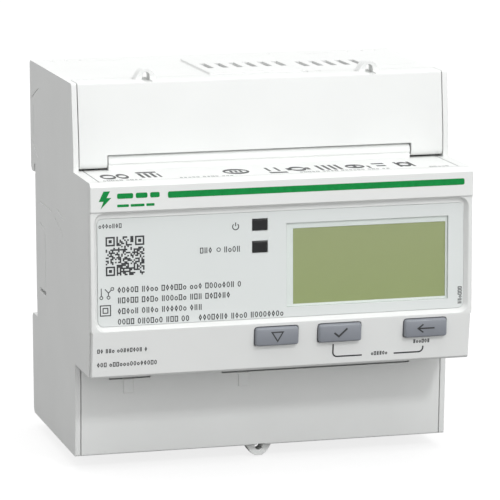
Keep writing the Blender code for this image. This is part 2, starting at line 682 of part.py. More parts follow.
def make_terminal(name, x, z):
    """A rising clamp: the screw turns in place and draws the cage forwards."""
    cage = block("cage", (x - 5.2, x + 5.2), (CLAMP_FRONT, CLAMP_BACK), (z - 4.5, z + 4.5), 0.5, 1)
    cut(cage, block("cage_hole", (x - 4, x + 4), (CLAMP_FRONT + 1.8, CLAMP_BACK - 1.6), (z - 9, z + 9)))
    cut(cage, rod("thread", (x, -30.0, z), (x, -23.0, z), SCREW_RADIUS + 0.2, 16))
    finish(cage, f"clamp_{name}", "zinc_steel", (x, CLAMP_FRONT, z))
    head_front, head_back = -39.8, -36.4
    screw = rod("screw", (x, head_front, z), (x, head_back, z), 3.4, 20)
    fuse(screw, rod("shank", (x, head_back - 0.5, z), (x, -20.6, z), SCREW_RADIUS, 16))
    for half_x, half_z in ((2.9, 0.5), (0.5, 2.4)):
        drive = block("drive", (x - half_x, x + half_x), (head_front - 1, head_front + 1.7),
                      (z - half_z, z + half_z))
        cut(screw, drive)
    finish(screw, f"screw_{name}", "zinc_steel", (x, head_front, z))
    shade_round(screw)


def make_busbar(name, x):
    bar = block("bar", (x - 3.5, x + 3.5), (BUSBAR_FRONT, BUSBAR_BACK), (-36.5, 36.5), 0.2, 1)
    finish(bar, f"busbar_{name}", "copper")


def make_current_transformer(name, x):
    """A ring core in its case, around one phase's busbar."""
    inner, outer, half_height, chamfer = 5.2, 8.6, 4.0, 0.6
    profile = [
        (inner, half_height), (outer - chamfer, half_height), (outer, half_height - chamfer),
        (outer, chamfer - half_height), (outer - chamfer, -half_height), (inner, -half_height),
    ]
    bm = bmesh.new()
    verts = [bm.verts.new((radius, 0.0, height)) for radius, height in profile]
    for step, vert in enumerate(verts):
        bm.edges.new((vert, verts[(step + 1) % len(verts)]))
    ring = from_bmesh("ring", bm, (x, (BUSBAR_FRONT + BUSBAR_BACK) / 2, 0.0))
    turn = ring.modifiers.new("Turn", "SCREW")
    turn.steps = 24
    turn.render_steps = 24
    turn.use_merge_vertices = True
    turn.merge_threshold = 0.00005
    finish(ring, f"current_transformer_{name}", "blue_epoxy")
    shade_round(ring)


# Boards

def make_boards():
    z = (-19.4, 19.4)
    front = block("board", (-39.5, 39.5), (BOARD_FRONT, BOARD_FRONT + BOARD_THICKNESS), z)
    finish(front, "display_board", "board")
    main = block("board", (-41.5, 41.5), (-34.0, -34.0 + BOARD_THICKNESS), (-20.4, 20.4))
    finish(main, "main_board", "board")
    link = block("link", (26.0, 38.0), (-51.9, -34.3), (-14.0, -11.4), 0.2, 1)
    finish(link, "board_connector", "black_plastic")


def make_supply():
    back = -34.3
    core = block("core", (-37.0, -19.0), (-48.0, back), (-9.5, 9.5), 0.4, 1)
    fuse(core, block("coil", (-39.0, -17.0), (-46.5, back - 1.5), (-6.5, 6.5), 1.0, 2))
    finish(core, "supply_transformer", "ferrite")
    for name, z in (("input", 9.0), ("output", -9.0)):
        can = rod("can", (-7.0, -50.0, z), (-7.0, back, z), 5.0, 24)
        round_edges(can, 0.5, 1)
        finish(can, f"{name}_capacitor", "black_plastic")
        shade_round(can)
    disc = rod("disc", (8.0, -43.0, 10.0), (12.5, -43.0, 10.0), 6.5, 24)
    fuse(disc, block("legs", (9.6, 10.9), (-40.0, back), (8.0, 12.0)))
    finish(disc, "surge_varistor", "blue_epoxy")
    shade_round(disc)
    finish(block("chip", (5.0, 15.0), (-36.0, back), (-11.0, -1.0), 0.15, 1), "metering_chip", "black_plastic")


# Rail latch

def make_latch():
    """The sliding latch that grips the rail's lower flange, pulled down by its tab."""
    latch = block("latch", (-10.0, 10.0), (1.5, 5.6), (-44.4, -19.9), 0.3, 1)
    tooth = slab("tooth", [(1.5, -21.0), (1.5, -16.2), (2.0, -15.7), (4.2, -18.6), (4.2, -21.0)],
                 "X", -9.7, 9.7)
    fuse(latch, tooth)
    fuse(latch, block("guide", (-11.5, 11.5), (2.3, 3.7), (-43.0, -22.0)))
    fuse(latch, block("tab", (-5.0, 5.0), (1.5, 3.7), (-47.8, -44.0)))
    cut(latch, block("window", (-3.4, 3.4), (0.0, 8.0), (-42.0, -27.0)))
    cut(latch, block("tab_slot", (-2.5, 2.5), (0.0, 8.0), (-46.8, -45.3)))
    finish(latch, "rail_latch", "grey_plastic", (0.0, 0.0, -17.5))


def make_latch_spring():
    """A compression spring between the housing's stop and the top of the latch's window."""
    coils, steps, radius, wire = 6, 10, 1.65, 0.28
    low, high = -39.0, -27.6
    curve = bpy.data.curves.new("latch_spring", "CURVE")
    curve.dimensions = "3D"
    curve.bevel_depth = wire * MM
    curve.bevel_resolution = 1
    curve.use_fill_caps = True
    spline = curve.splines.new("POLY")
    count = coils * steps
    spline.points.add(count)
    for step in range(count + 1):
        angle = 2 * math.pi * step / steps
        x, y = radius * math.cos(angle), radius * math.sin(angle)
        z = (high - low) * step / count
        spline.points[step].co = (x * MM, y * MM, z * MM, 1.0)
    spring = bpy.data.objects.new("latch_spring", curve)
    spring.location = Vector((0.0, 3.4, low)) * MM
    spring.data.materials.append(MATERIALS["spring_steel"])
    PARTS.objects.link(spring)


def build():
    housing = make_housing()
    make_front_frame()
    make_front_panel()
    make_display()
    make_indicators()
    for name, x in BUTTONS.items():
        make_button(name, x)
        make_switch(name, x)
    seal_lugs(housing, make_upper_cover(), TOP, 1, (-LUG_X, LUG_X))
    seal_lugs(housing, make_lower_cover(), BOTTOM, -1, (-0.3,))
    make_shroud("upper", 1, TOP - 2.1)
    make_shroud("lower", -1, BOTTOM + 2.1)
    for name, x in POLES.items():
        make_busbar(name, x)
        make_terminal(f"top_{name}", x, TERMINAL_Z)
        make_terminal(f"bottom_{name}", x, -TERMINAL_Z)
        if name != "n":
            make_current_transformer(name, x)
    make_boards()
    make_supply()
    make_latch()
    make_latch_spring()


build()
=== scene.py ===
import math
import random

import bmesh
import bpy
import numpy as np
from mathutils import Matrix, Vector
from mathutils.bvhtree import BVHTree


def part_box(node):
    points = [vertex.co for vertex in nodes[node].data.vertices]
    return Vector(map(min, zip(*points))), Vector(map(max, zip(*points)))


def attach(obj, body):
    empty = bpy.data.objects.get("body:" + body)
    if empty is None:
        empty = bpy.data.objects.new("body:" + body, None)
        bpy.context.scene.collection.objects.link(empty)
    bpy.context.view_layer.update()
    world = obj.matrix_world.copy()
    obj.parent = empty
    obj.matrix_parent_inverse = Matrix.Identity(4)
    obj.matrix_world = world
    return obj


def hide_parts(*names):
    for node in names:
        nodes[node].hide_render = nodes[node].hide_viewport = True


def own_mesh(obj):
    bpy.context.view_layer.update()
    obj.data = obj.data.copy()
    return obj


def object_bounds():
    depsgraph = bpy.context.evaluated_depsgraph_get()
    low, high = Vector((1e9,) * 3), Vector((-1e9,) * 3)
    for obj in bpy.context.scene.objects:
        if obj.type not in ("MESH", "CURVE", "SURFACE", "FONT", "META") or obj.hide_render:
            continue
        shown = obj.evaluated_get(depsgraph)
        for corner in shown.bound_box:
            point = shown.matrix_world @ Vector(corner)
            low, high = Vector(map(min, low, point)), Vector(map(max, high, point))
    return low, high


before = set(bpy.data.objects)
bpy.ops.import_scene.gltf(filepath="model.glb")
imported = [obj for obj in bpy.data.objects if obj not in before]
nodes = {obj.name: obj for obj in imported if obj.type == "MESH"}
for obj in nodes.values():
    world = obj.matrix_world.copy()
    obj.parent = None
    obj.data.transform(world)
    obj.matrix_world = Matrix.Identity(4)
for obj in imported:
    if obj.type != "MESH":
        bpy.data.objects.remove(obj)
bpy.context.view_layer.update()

# The finishes, printed marks, light and camera of a smart electric meter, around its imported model.
# Objects are in metres. Names that end in _mm or _MM, the finishes' radii, and the flat shapes of the
# prints are in millimetres: u runs to the right, and v runs up or, on the nose's top, backwards.

MM = 0.001
scene = bpy.context.scene

# Colours, linear
WHITE = (0.80, 0.81, 0.80)
PANEL_TINT = (0.745, 0.775, 0.765)
KEY_TINT = (0.235, 0.250, 0.280)
DISPLAY_TINT = (0.355, 0.400, 0.175)
GUIDE_WHITE = (0.85, 0.86, 0.82)
MASK_TINT = (0.86, 0.88, 0.885)
GREY = (0.42, 0.44, 0.45)
BLACK = (0.030, 0.030, 0.032)
COPPER, COPPER_STAIN = (0.80, 0.46, 0.30), (0.42, 0.22, 0.12)
ZINC = (0.66, 0.655, 0.62)
SPRING_STEEL = (0.48, 0.48, 0.49)
METAL_STAIN = (0.35, 0.33, 0.30)
FERRITE = (0.050, 0.050, 0.054)
EPOXY_BLUE = (0.028, 0.11, 0.32)
LENS_TINT = (0.016, 0.0165, 0.017)
SHEET_TINT, SHEET_CLEAR = (0.95, 0.97, 0.96, 1), (0.965, 0.975, 0.965, 1)
BOARD_MASK, BOARD_MASK_PALE = (0.018, 0.115, 0.045, 1), (0.022, 0.140, 0.055, 1)
BOARD_TRACK = (0.050, 0.240, 0.100, 1)

# Smooth shading of the CAD nodes
MOST_TURN = 28.0
WELD = 1e-7
TINY = 1e-20

# Plastics: the reach of the painted edge highlight, against the rounding, and the grain's share of the
# roughness
EDGE_REACH = 1.6
GRAIN_SIZE_MM, GRAIN_DEPTH_MM = 0.22, 0.02
GRAIN_ROUGHNESS = 0.05

# Prints. A filler mark's sizes are shares of its line's height or pitch.
LIFT_MM = 0.006
INK_MM = 0.02
LEAST_MITRE = 0.4
FILLER_KINDS = 5
FILLER_PITCH = 0.74
FILLER_WIDTH = 0.78
FILLER_SHORT = 0.74
FILLER_LEAST = 0.7
WORD_GAP = 0.6

# Light and floor. A lamp is its name, azimuth, elevation, strength, spread and colour: azimuth 0 is the
# front, and positive is to the right.
AMBIENT = 0.87
LAMPS = (
    ("key", 14, 37.0, 0.72, 7, (0.985, 1.0, 1.0)),
    ("overhead", 0, 84, 0.74, 50, (1, 1, 1)),
    ("fill", 24, 2, 0.93, 60, (1, 1, 1)),
)
FLOOR_SIZE = 8
FLOOR_GAP = 0.0003
FLOOR_SEEN = 0.22
FLOOR_GLOW = 0.81
FLOOR_BOUNCE = 0.26

# Camera: degrees, metres, and millimetres for the film
CAMERA_YAW, CAMERA_PITCH, CAMERA_ROLL = 14.839, 10.041, -0.194
CAMERA_PLACE = (-0.196702, -0.775235, 0.136163)
CAMERA_SENSOR = 36.0
CAMERA_LENS = 3295.83 / 500 * CAMERA_SENSOR
CAMERA_NEAR, CAMERA_FAR = 0.01, 20.0


# Node trees

class Tree:
    """A material's node tree, with short calls for the nodes that the finishes share."""

    def __init__(self, name):
        self.material = bpy.data.materials.new(name)
        self.material.use_nodes = True
        self.nodes = self.material.node_tree.nodes
        self.links = self.material.node_tree.links
        self.shader = self.nodes["Principled BSDF"]
        self.output = self.nodes["Material Output"]
        self.coords = self.add("ShaderNodeTexCoord").outputs["Object"]

    def add(self, kind, inputs=None, **settings):
        made = self.nodes.new(kind)
        for key, value in settings.items():
            setattr(made, key, value)
        for key, value in (inputs or {}).items():
            self.feed(made.inputs[key], value)
        return made

    def feed(self, socket, value):
        if isinstance(value, bpy.types.NodeSocket):
            self.links.new(value, socket)
        else:
            socket.default_value = value

    def set(self, **inputs):
        for key, value in inputs.items():
            self.feed(self.shader.inputs[key.replace("_", " ")], value)

    def noise(self, size_mm, detail=2.0, stretch=(1, 1, 1)):
        vector = self.coords
        if stretch != (1, 1, 1):
            vector = self.add("ShaderNodeMapping", {"Vector": vector, "Scale": stretch}).outputs[0]
        inputs = {"Vector": vector, "Scale": 1.0 / (size_mm * MM), "Detail": detail}
        return self.add("ShaderNodeTexNoise", inputs).outputs["Fac"]

    def spread(self, value, low, high, start=0.3, stop=0.7):
        """The value, moved from the range start to stop onto the range low to high."""
        inputs = {"Value": value, "From Min": start, "From Max": stop, "To Min": low, "To Max": high}
        return self.add("ShaderNodeMapRange", inputs).outputs[0]

    def maths(self, operation, a, b):
        made = self.add("ShaderNodeMath", operation=operation)
        self.feed(made.inputs[0], a)
        self.feed(made.inputs[1], b)
        return made.outputs[0]

    def blend(self, factor, a, b):
        made = self.add("ShaderNodeMix", data_type="RGBA", blend_type="MIX")
        self.feed(made.inputs[0], factor)
        self.feed(made.inputs[6], a)
        self.feed(made.inputs[7], b)
        return made.outputs[2]

    def tinted(self, colour, amount, size_mm=14.0):
        """The colour, a little lighter and darker from place to place."""
        pale = [min(1.0, c * (1 + amount)) for c in colour]
        deep = [c * (1 - amount) for c in colour]
        return self.blend(self.spread(self.noise(size_mm), 0, 1), (*deep, 1), (*pale, 1))

    def bump(self, height, strength, depth_mm, normal=None):
        inputs = {"Height": height, "Strength": strength, "Distance": depth_mm * MM}
        if normal is not None:
            inputs["Normal"] = normal
        return self.add("ShaderNodeBump", inputs).outputs[0]

    def rounded(self, radius_mm):
        return self.add("ShaderNodeBevel", {"Radius": radius_mm * MM}, samples=6).outputs[0]

    def edges(self, radius_mm):
        """1 on edges and 0 on open faces."""
        bent = self.rounded(radius_mm)
        plain = self.add("ShaderNodeNewGeometry").outputs["Normal"]
        dot = self.add("ShaderNodeVectorMath", {0: bent, 1: plain}, operation="DOT_PRODUCT")
        return self.spread(dot.outputs["Value"], 1.0, 0.0, start=0.80, stop=0.985)


def moulded(name, colour, roughness=0.42, grain=0.10, tint=0.012, edge=0.35, radius=0.20, highlight_gain=1.10):
    """Injection-moulded plastic: a fine spark-eroded grain, and a painted highlight that makes the soft
    edges a little brighter.
    """
    t = Tree(name)
    body = t.tinted(colour, tint)
    # Painted highlight: the edge mask, times edge, mixes the colour towards a brighter copy of itself on
    # every edge.
    highlight_colour = [min(1.0, c * highlight_gain) for c in colour]
    painted_edge_highlight = t.maths("MULTIPLY", t.edges(radius * EDGE_REACH), edge)
    fine = t.noise(GRAIN_SIZE_MM, detail=3.0)
    patchy = t.spread(t.noise(size_mm=9.0), roughness - 0.04, roughness + 0.04)
    t.set(Base_Color=t.blend(painted_edge_highlight, body, (*highlight_colour, 1)))
    t.set(Roughness=t.maths("ADD", patchy, t.maths("MULTIPLY", fine, GRAIN_ROUGHNESS)))
    t.set(Normal=t.bump(fine, strength=grain, depth_mm=GRAIN_DEPTH_MM, normal=t.rounded(radius)))
    return t.material


def film(name, colour, roughness):
    """Printed overlay film: smoother than the mouldings, with a slight orange peel."""
    t = Tree(name)
    t.set(Base_Color=t.tinted(colour, amount=0.010, size_mm=22.0))
    t.set(Roughness=t.spread(t.noise(size_mm=6.0), roughness - 0.03, roughness + 0.05))
    t.set(Normal=t.bump(t.noise(size_mm=1.3), strength=0.10, depth_mm=0.02, normal=t.rounded(0.15)))
    t.set(Coat_Weight=0.25, Coat_Roughness=0.18)
    return t.material


def rubber_key(name, colour):
    """Key caps: satin, with a painted highlight that brightens their edges."""
    t = Tree(name)
    body = t.tinted(colour, amount=0.03, size_mm=3.0)
    # Painted highlight: the edges' colour is mixed towards a copy 2.2 times brighter.
    highlight_colour = [min(1.0, c * 2.2) for c in colour]
    t.set(Base_Color=t.blend(t.maths("MULTIPLY", t.edges(0.6), 0.7), body, (*highlight_colour, 1)))
    t.set(Roughness=t.spread(t.noise(size_mm=2.5), 0.30, 0.40))
    t.set(Normal=t.bump(t.noise(size_mm=0.16), strength=0.12, depth_mm=0.02, normal=t.rounded(0.35)))
    return t.material


def metal(name, colour, roughness, stretch, stain=METAL_STAIN):
    """Bare or plated metal with drawing lines along one axis and uneven plating."""
    t = Tree(name)
    lines = t.noise(size_mm=0.5, detail=3.0, stretch=stretch)
    patches = t.maths("MULTIPLY", t.spread(t.noise(size_mm=2.4, detail=4.0), 0, 1), 0.18)
    drawn = t.spread(lines, roughness - 0.06, roughness + 0.08)
    t.set(Base_Color=t.blend(patches, t.tinted(colour, amount=0.06, size_mm=1.5), (*stain, 1)))
    t.set(Roughness=t.maths("ADD", drawn, t.maths("MULTIPLY", patches, 0.4)), Metallic=1.0)
    t.set(Normal=t.bump(lines, strength=0.25, depth_mm=0.02, normal=t.rounded(0.15)))
    return t.material


def clear_sheet(name):
    """The window over the display: clear, with the sheen of a polished moulding on its outer side."""
    t = Tree(name)
    t.set(Base_Color=SHEET_TINT, Roughness=t.spread(t.noise(size_mm=4.0), 0.03, 0.08))
    t.set(Normal=t.rounded(0.12))
    clear = t.add("ShaderNodeBsdfTransparent", {"Color": SHEET_CLEAR}).outputs[0]
    sheen = t.add("ShaderNodeFresnel", {"IOR": 1.46}).outputs[0]
    outside = t.maths("SUBTRACT", 1.0, t.add("ShaderNodeNewGeometry").outputs["Backfacing"])
    mixed = t.add("ShaderNodeMixShader", {0: t.maths("MULTIPLY", sheen, outside), 1: clear})
    t.links.new(t.shader.outputs[0], mixed.inputs[2])
    t.links.new(mixed.outputs[0], t.output.inputs["Surface"])
    return t.material


def smoked(name, colour):
    """The indicators' lenses: near-black and polished."""
    t = Tree(name)
    t.set(Base_Color=t.tinted(colour, amount=0.15, size_mm=2.0))
    t.set(Roughness=t.spread(t.noise(size_mm=1.5), 0.10, 0.18), Normal=t.rounded(0.25))
    t.set(Coat_Weight=0.4, Coat_Roughness=0.05)
    return t.material


def liquid_crystal(name, colour):
    """The display's polariser: olive, painted a touch deeper towards its foot as shade, with a very fine
    weave.
    """
    t = Tree(name)
    height = t.add("ShaderNodeSeparateXYZ", {0: t.coords}).outputs["Z"]
    low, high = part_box("lcd_panel")
    # Painted shade: the olive runs from a paler copy at the top to a deeper copy at the foot.
    deep = [c * k for c, k in zip(colour, (0.95, 0.98, 0.90))]
    pale = [c * k for c, k in zip(colour, (1.04, 1.02, 1.10))]
    shade = t.blend(t.spread(height, 0.0, 1.0, low.z, high.z), (*deep, 1), (*pale, 1))
    dull = [c * 0.9 for c in colour]
    t.set(Base_Color=t.blend(t.spread(t.noise(size_mm=5.0), 0.0, 0.10), shade, (*dull, 1)))
    t.set(Roughness=t.spread(t.noise(size_mm=0.3), 0.34, 0.42))
    weave = t.noise(size_mm=0.25, detail=1.0, stretch=(1, 1, 3))
    t.set(Normal=t.bump(weave, strength=0.05, depth_mm=0.01))
    return t.material


def circuit_board(name):
    """Solder mask over copper tracks."""
    t = Tree(name)
    upright = {"Vector": t.coords, "Rotation": (math.radians(90), 0, 0)}
    inputs = {
        "Vector": t.add("ShaderNodeMapping", upright).outputs[0],
        "Color1": BOARD_MASK,
        "Color2": BOARD_MASK_PALE,
        "Mortar": BOARD_TRACK,
        "Scale": 180.0,
        "Mortar Size": 0.06,
    }
    tracks = t.add("ShaderNodeTexBrick", inputs)
    t.set(Base_Color=tracks.outputs["Color"], Roughness=t.spread(t.noise(size_mm=2.0), 0.28, 0.40))
    t.set(Normal=t.bump(tracks.outputs["Fac"], strength=0.4, depth_mm=0.035, normal=t.rounded(0.1)))
    return t.material


def ink(name, colour, roughness=0.5, specular=0.5):
    """Pad-printed or lasered ink: thin, and not quite even."""
    t = Tree(name)
    t.set(Base_Color=t.tinted(colour, amount=0.10, size_mm=0.8))
    t.set(Roughness=t.spread(t.noise(size_mm=0.6), roughness - 0.08, roughness + 0.10))
    t.set(Normal=t.bump(t.noise(size_mm=0.2), strength=0.08, depth_mm=0.01))
    t.set(Specular_IOR_Level=specular)
    return t.material


# In the mouldings below, the edge share and the brightening factor set the painted highlight on their
# edges.
FINISHES = {
    "white_plastic": moulded("white_moulding", WHITE),
    "panel_plastic": film("panel_film", PANEL_TINT, roughness=0.34),
    "key_plastic": rubber_key("key_cap", KEY_TINT),
    "clear_plastic": clear_sheet("window_clear"),
    "smoked_plastic": smoked("lens_smoked", LENS_TINT),
    "lcd_glass": liquid_crystal("display_olive", DISPLAY_TINT),
    "light_guide": moulded("diffuser_white", GUIDE_WHITE, roughness=0.30, grain=0.04),
    "grey_plastic": moulded("grey_moulding", GREY, roughness=0.48, grain=0.14, tint=0.02),
    "black_plastic": moulded(
        "black_moulding", BLACK, roughness=0.40, grain=0.14, tint=0.05, edge=0.5, highlight_gain=2.2),
    "board": circuit_board("circuit_board"),
    "copper": metal("tinned_copper", COPPER, roughness=0.26, stretch=(1, 1, 0.06), stain=COPPER_STAIN),
    "zinc_steel": metal("zinc_plate", ZINC, roughness=0.30, stretch=(0.3, 1, 0.3)),
    "spring_steel": metal("spring_wire", SPRING_STEEL, roughness=0.26, stretch=(1, 1, 0.2)),
    "ferrite": moulded("ferrite", FERRITE, roughness=0.55, grain=0.35, tint=0.08, edge=0.5, highlight_gain=1.8),
    "blue_epoxy": moulded(
        "blue_epoxy", EPOXY_BLUE, roughness=0.30, grain=0.25, tint=0.06, edge=0.4, radius=0.3, highlight_gain=1.6),
}
INK_DARK = ink("ink_dark", (0.035, 0.037, 0.040))
INK_PALE = ink("ink_pale", (0.26, 0.27, 0.27))
INK_FAINT = ink("ink_faint", (0.50, 0.51, 0.51))
INK_GREEN = ink("ink_green", (0.002, 0.250, 0.050), roughness=0.55, specular=0.2)
MASK_WHITE = moulded("display_mask_white", MASK_TINT, roughness=0.35, grain=0.05)


# CAD nodes: finishes and smooth normals, with every vertex left in place

def corner_normals(mesh, most_turn):
    """A normal for each face corner, averaged over the faces round its point within most_turn degrees."""
    points = np.empty(len(mesh.vertices) * 3)
    mesh.vertices.foreach_get("co", points)
    points = np.round(points.reshape(-1, 3) / WELD).astype(np.int64)
    _, point_of = np.unique(points, axis=0, return_inverse=True)
    point_of = point_of.reshape(-1)
    count = len(mesh.polygons)
    face_normals = np.empty(count * 3)
    mesh.polygons.foreach_get("normal", face_normals)
    face_normals = face_normals.reshape(-1, 3)
    loop_vertex = np.empty(len(mesh.loops), np.int64)
    mesh.loops.foreach_get("vertex_index", loop_vertex)
    corners = np.array([v.co for v in mesh.vertices])[loop_vertex].reshape(count, 3, 3)
    weights = np.empty((count, 3))
    for i in range(3):
        a = corners[:, (i + 1) % 3] - corners[:, i]
        b = corners[:, (i + 2) % 3] - corners[:, i]
        size = np.linalg.norm(a, axis=1) * np.linalg.norm(b, axis=1) + TINY
        weights[:, i] = np.arccos(np.clip((a * b).sum(axis=1) / size, -1, 1))
    weights = weights.reshape(-1)
    face_of = np.repeat(np.arange(count), 3)
    order = np.argsort(point_of[loop_vertex], kind="stable")
    groups = np.split(order, np.flatnonzero(np.diff(point_of[loop_vertex][order])) + 1)
    normals = np.empty((len(loop_vertex), 3))
    least = math.cos(math.radians(most_turn))
    for group in groups:
        around = face_normals[face_of[group]]
        near = (around @ around.T > least) * weights[group]
        total = near @ around
        normals[group] = total / (np.linalg.norm(total, axis=1, keepdims=True) + TINY)
    return normals


def soften(obj):
    mesh = obj.data
    normals = corner_normals(mesh, MOST_TURN)
    mesh.polygons.foreach_set("use_smooth", [True] * len(mesh.polygons))
    mesh.normals_split_custom_set([tuple(n) for n in normals])


def dress_nodes():
    for obj in nodes.values():
        soften(obj)
        for slot in obj.material_slots:
            known = slot.material.name.split(".")[0]
            slot.material = FINISHES[known]


# Printed marks: thin solids that stand a hair proud of the face they are printed on

class Print:
    """Flat shapes in a face's own (u, v), in millimetres, made into one piece of ink."""

    def __init__(self, place, thickness=INK_MM):
        self.bm = bmesh.new()
        self.place = place
        self.thickness = thickness

    def pair(self, point):
        u, v = point
        low = self.bm.verts.new(self.place(u, v, LIFT_MM))
        return low, self.bm.verts.new(self.place(u, v, LIFT_MM + self.thickness))

    def patch(self, outline):
        area = sum(a[0] * b[1] - b[0] * a[1] for a, b in zip(outline, outline[1:] + outline[:1]))
        pairs = [self.pair(p) for p in (outline if area > 0 else reversed(outline))]
        lows, highs = zip(*pairs)
        self.bm.faces.new(highs)
        self.bm.faces.new(lows[::-1])
        for i in range(len(pairs)):
            j = (i + 1) % len(pairs)
            self.bm.faces.new((lows[i], lows[j], highs[j], highs[i]))

    def bar(self, u0, u1, v0, v1):
        self.patch([(u0, v0), (u1, v0), (u1, v1), (u0, v1)])

    def stroke(self, points, width, closed=False):
        """A line of this width through the points, mitred at its corners."""
        count = len(points)
        rows = []
        for i, (u, v) in enumerate(points):
            before = points[i - 1] if closed or i else points[0]
            after = points[(i + 1) % count] if closed or i < count - 1 else points[-1]
            steps = [Vector((u - before[0], v - before[1])), Vector((after[0] - u, after[1] - v))]
            steps = [s.normalized() for s in steps if s.length > 1e-9]
            along = sum(steps, Vector((0, 0))).normalized()
            side = Vector((-along.y, along.x))
            reach = width / 2 / max(LEAST_MITRE, side.dot(Vector((-steps[0].y, steps[0].x))))
            left = self.pair((u + side.x * reach, v + side.y * reach))
            rows.append((*left, *self.pair((u - side.x * reach, v - side.y * reach))))
        for i in range(count if closed else count - 1):
            ll, lh, rl, rh = rows[i]
            ml, mh, sl, sh = rows[(i + 1) % count]
            for face in ((rh, sh, mh, lh), (rl, ll, ml, sl), (rl, sl, sh, rh), (ml, ll, lh, mh)):
                self.bm.faces.new(face)
        if not closed:
            ll, lh, rl, rh = rows[0]
            self.bm.faces.new((ll, rl, rh, lh))
            ll, lh, rl, rh = rows[-1]
            self.bm.faces.new((rl, ll, lh, rh))

    def band(self, outer, inner):
        """The ring between two outlines of as many points each."""
        rows = [(*self.pair(a), *self.pair(b)) for a, b in zip(outer, inner)]
        for (ol, oh, il, ih), (pl, ph, ql, qh) in zip(rows, rows[1:] + rows[:1]):
            for face in ((oh, ph, qh, ih), (ol, il, ql, pl), (ol, pl, ph, oh), (il, ih, qh, ql)):
                self.bm.faces.new(face)

    def oval(self, u, v, ru, rv, wide, tall=None, steps=16):
        """An elliptical ring about (u, v), wide across at its sides and tall at its top and foot."""
        tall = wide if tall is None else tall
        turns = [2 * math.pi * k / steps for k in range(steps)]
        outline = [(math.cos(a), math.sin(a)) for a in turns]
        outer = [(u + (ru + wide / 2) * c, v + (rv + tall / 2) * d) for c, d in outline]
        inner = [(u + (ru - wide / 2) * c, v + (rv - tall / 2) * d) for c, d in outline]
        self.band(outer, inner)

    def piece(self, name, material, body="meter"):
        mesh = bpy.data.meshes.new(name)
        self.bm.to_mesh(mesh)
        self.bm.free()
        return add_piece(name, mesh, material, body)


def add_piece(name, mesh, material, body):
    obj = bpy.data.objects.new(name, mesh)
    scene.collection.objects.link(obj)
    mesh.materials.append(material)
    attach(obj, body)
    return obj


def facing_front(y):
    return lambda u, v, out: Vector((u * MM, y - out * MM, v * MM))


def surface_at(node, origin, direction):
    mesh = nodes[node].data
    faces = [tuple(p.vertices) for p in mesh.polygons]
    tree = BVHTree.FromPolygons([v.co for v in mesh.vertices], faces)
    return tree.ray_cast(Vector(origin), Vector(direction))[0]


def middle_height_mm(node):
    low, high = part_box(node)
    return (low.z + high.z) / 2 / MM


def box_outline(u0, u1, v0, v1):
    return [(u0, v0), (u1, v0), (u1, v1), (u0, v1)]


def rounded_box(u0, u1, v0, v1, radius, steps=4):
    points = []
    for cu, cv, start in ((u1 - radius, v1 - radius, 0), (u0 + radius, v1 - radius, 90),
                          (u0 + radius, v0 + radius, 180), (u1 - radius, v0 + radius, 270)):
        for k in range(steps + 1):
            a = math.radians(start + 90 * k / steps)
            points.append((cu + radius * math.cos(a), cv + radius * math.sin(a)))
    return points


def filler(marks, u, v, width, height, kind, pen):
    """One abstract mark in a line of filler: no letter or digit."""
    mid, short = u + width / 2, height * FILLER_SHORT
    if kind == 0:
        marks.oval(mid, v + height / 2, (width - pen) / 2, (height - pen) / 2, pen, steps=10)
    elif kind == 1:
        marks.oval(mid, v + short / 2, (width - pen) / 2, (short - pen) / 2, pen, steps=10)
    elif kind == 2:
        inset = width * 0.10
        far = width * 0.90
        marks.bar(u + inset, u + inset + pen, v, v + height)
        marks.bar(u + far - pen, u + far, v, v + height)
    elif kind == 3:
        half = pen / 2
        ring = box_outline(u + half, u + width - half, v + half, v + height - half)
        marks.stroke(ring, pen, closed=True)
    else:
        centre = v + height / 2
        side, tip = pen * 0.6, pen * 0.7
        diamond = [(u + side, centre), (mid, v + tip), (u + width - side, centre), (mid, v + height - tip)]
        marks.stroke(diamond, pen, closed=True)


def filler_line(marks, draw, start, stop, v, height, pen, words=(5, 4, 6, 3, 7)):
    """A line of filler marks in words of these lengths, from start to stop."""
    pitch = height * FILLER_PITCH
    u, left, word = start, words[0], 0
    while u + pitch * FILLER_LEAST <= stop:
        filler(marks, u, v, pitch * FILLER_WIDTH, height, draw.randrange(FILLER_KINDS), pen)
        u += pitch
        left -= 1
        if not left:
            word += 1
            left = words[word % len(words)]
            u += pitch * WORD_GAP


PANEL_LOW, PANEL_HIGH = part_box("front_panel")
FRAME_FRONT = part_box("front_frame")[0].y


# Header

HEADER_RULE = (-27.2, 42.95, 18.62, 20.1)
HEADER_RULE_CORNER = 0.4
HEADER_BAR_ROUND = 0.3
HEADER_BOLT = [(-42.0, 20.7), (-40.5, 20.7), (-41.3, 19.2), (-40.2, 19.2), (-42.7, 16.7), (-42.0, 18.4),
               (-43.1, 18.4)]
HEADER_BARS = (
    (-38.9, -35.2, 18.9, 20.1), (-34.6, -31.9, 18.9, 20.1), (-31.3, -29.1, 18.9, 20.1),
    (-38.9, -36.2, 17.0, 17.6), (-35.8, -32.6, 17.0, 17.6), (-32.2, -30.3, 17.0, 17.6),
)


def print_header():
    """The green rule along the header, and a plain bolt and bars in its corner."""
    place = facing_front(FRAME_FRONT)
    rule = Print(place)
    rule.patch(rounded_box(*HEADER_RULE, HEADER_RULE_CORNER))
    rule.piece("header_rule", INK_GREEN)
    corner = Print(place)
    corner.patch(HEADER_BOLT)
    for u0, u1, v0, v1 in HEADER_BARS:
        corner.patch(rounded_box(u0, u1, v0, v1, (v1 - v0) * HEADER_BAR_ROUND))
    corner.piece("header_corner_mark", INK_GREEN)


# Panel

CODE_SEED = 5
CODE_CELLS = 25
CODE_LEFT, CODE_TOP = -41.35, 10.1
CODE_CELL = 8.93 / CODE_CELLS
CODE_CORNER = 6
CODE_DARK = 0.5
CODE_ROW_FILL = 0.98
CODE_CORNERS = ((0, 0), (CODE_CELLS - CODE_CORNER, 0), (0, CODE_CELLS - CODE_CORNER))

PANEL_SEED = 3
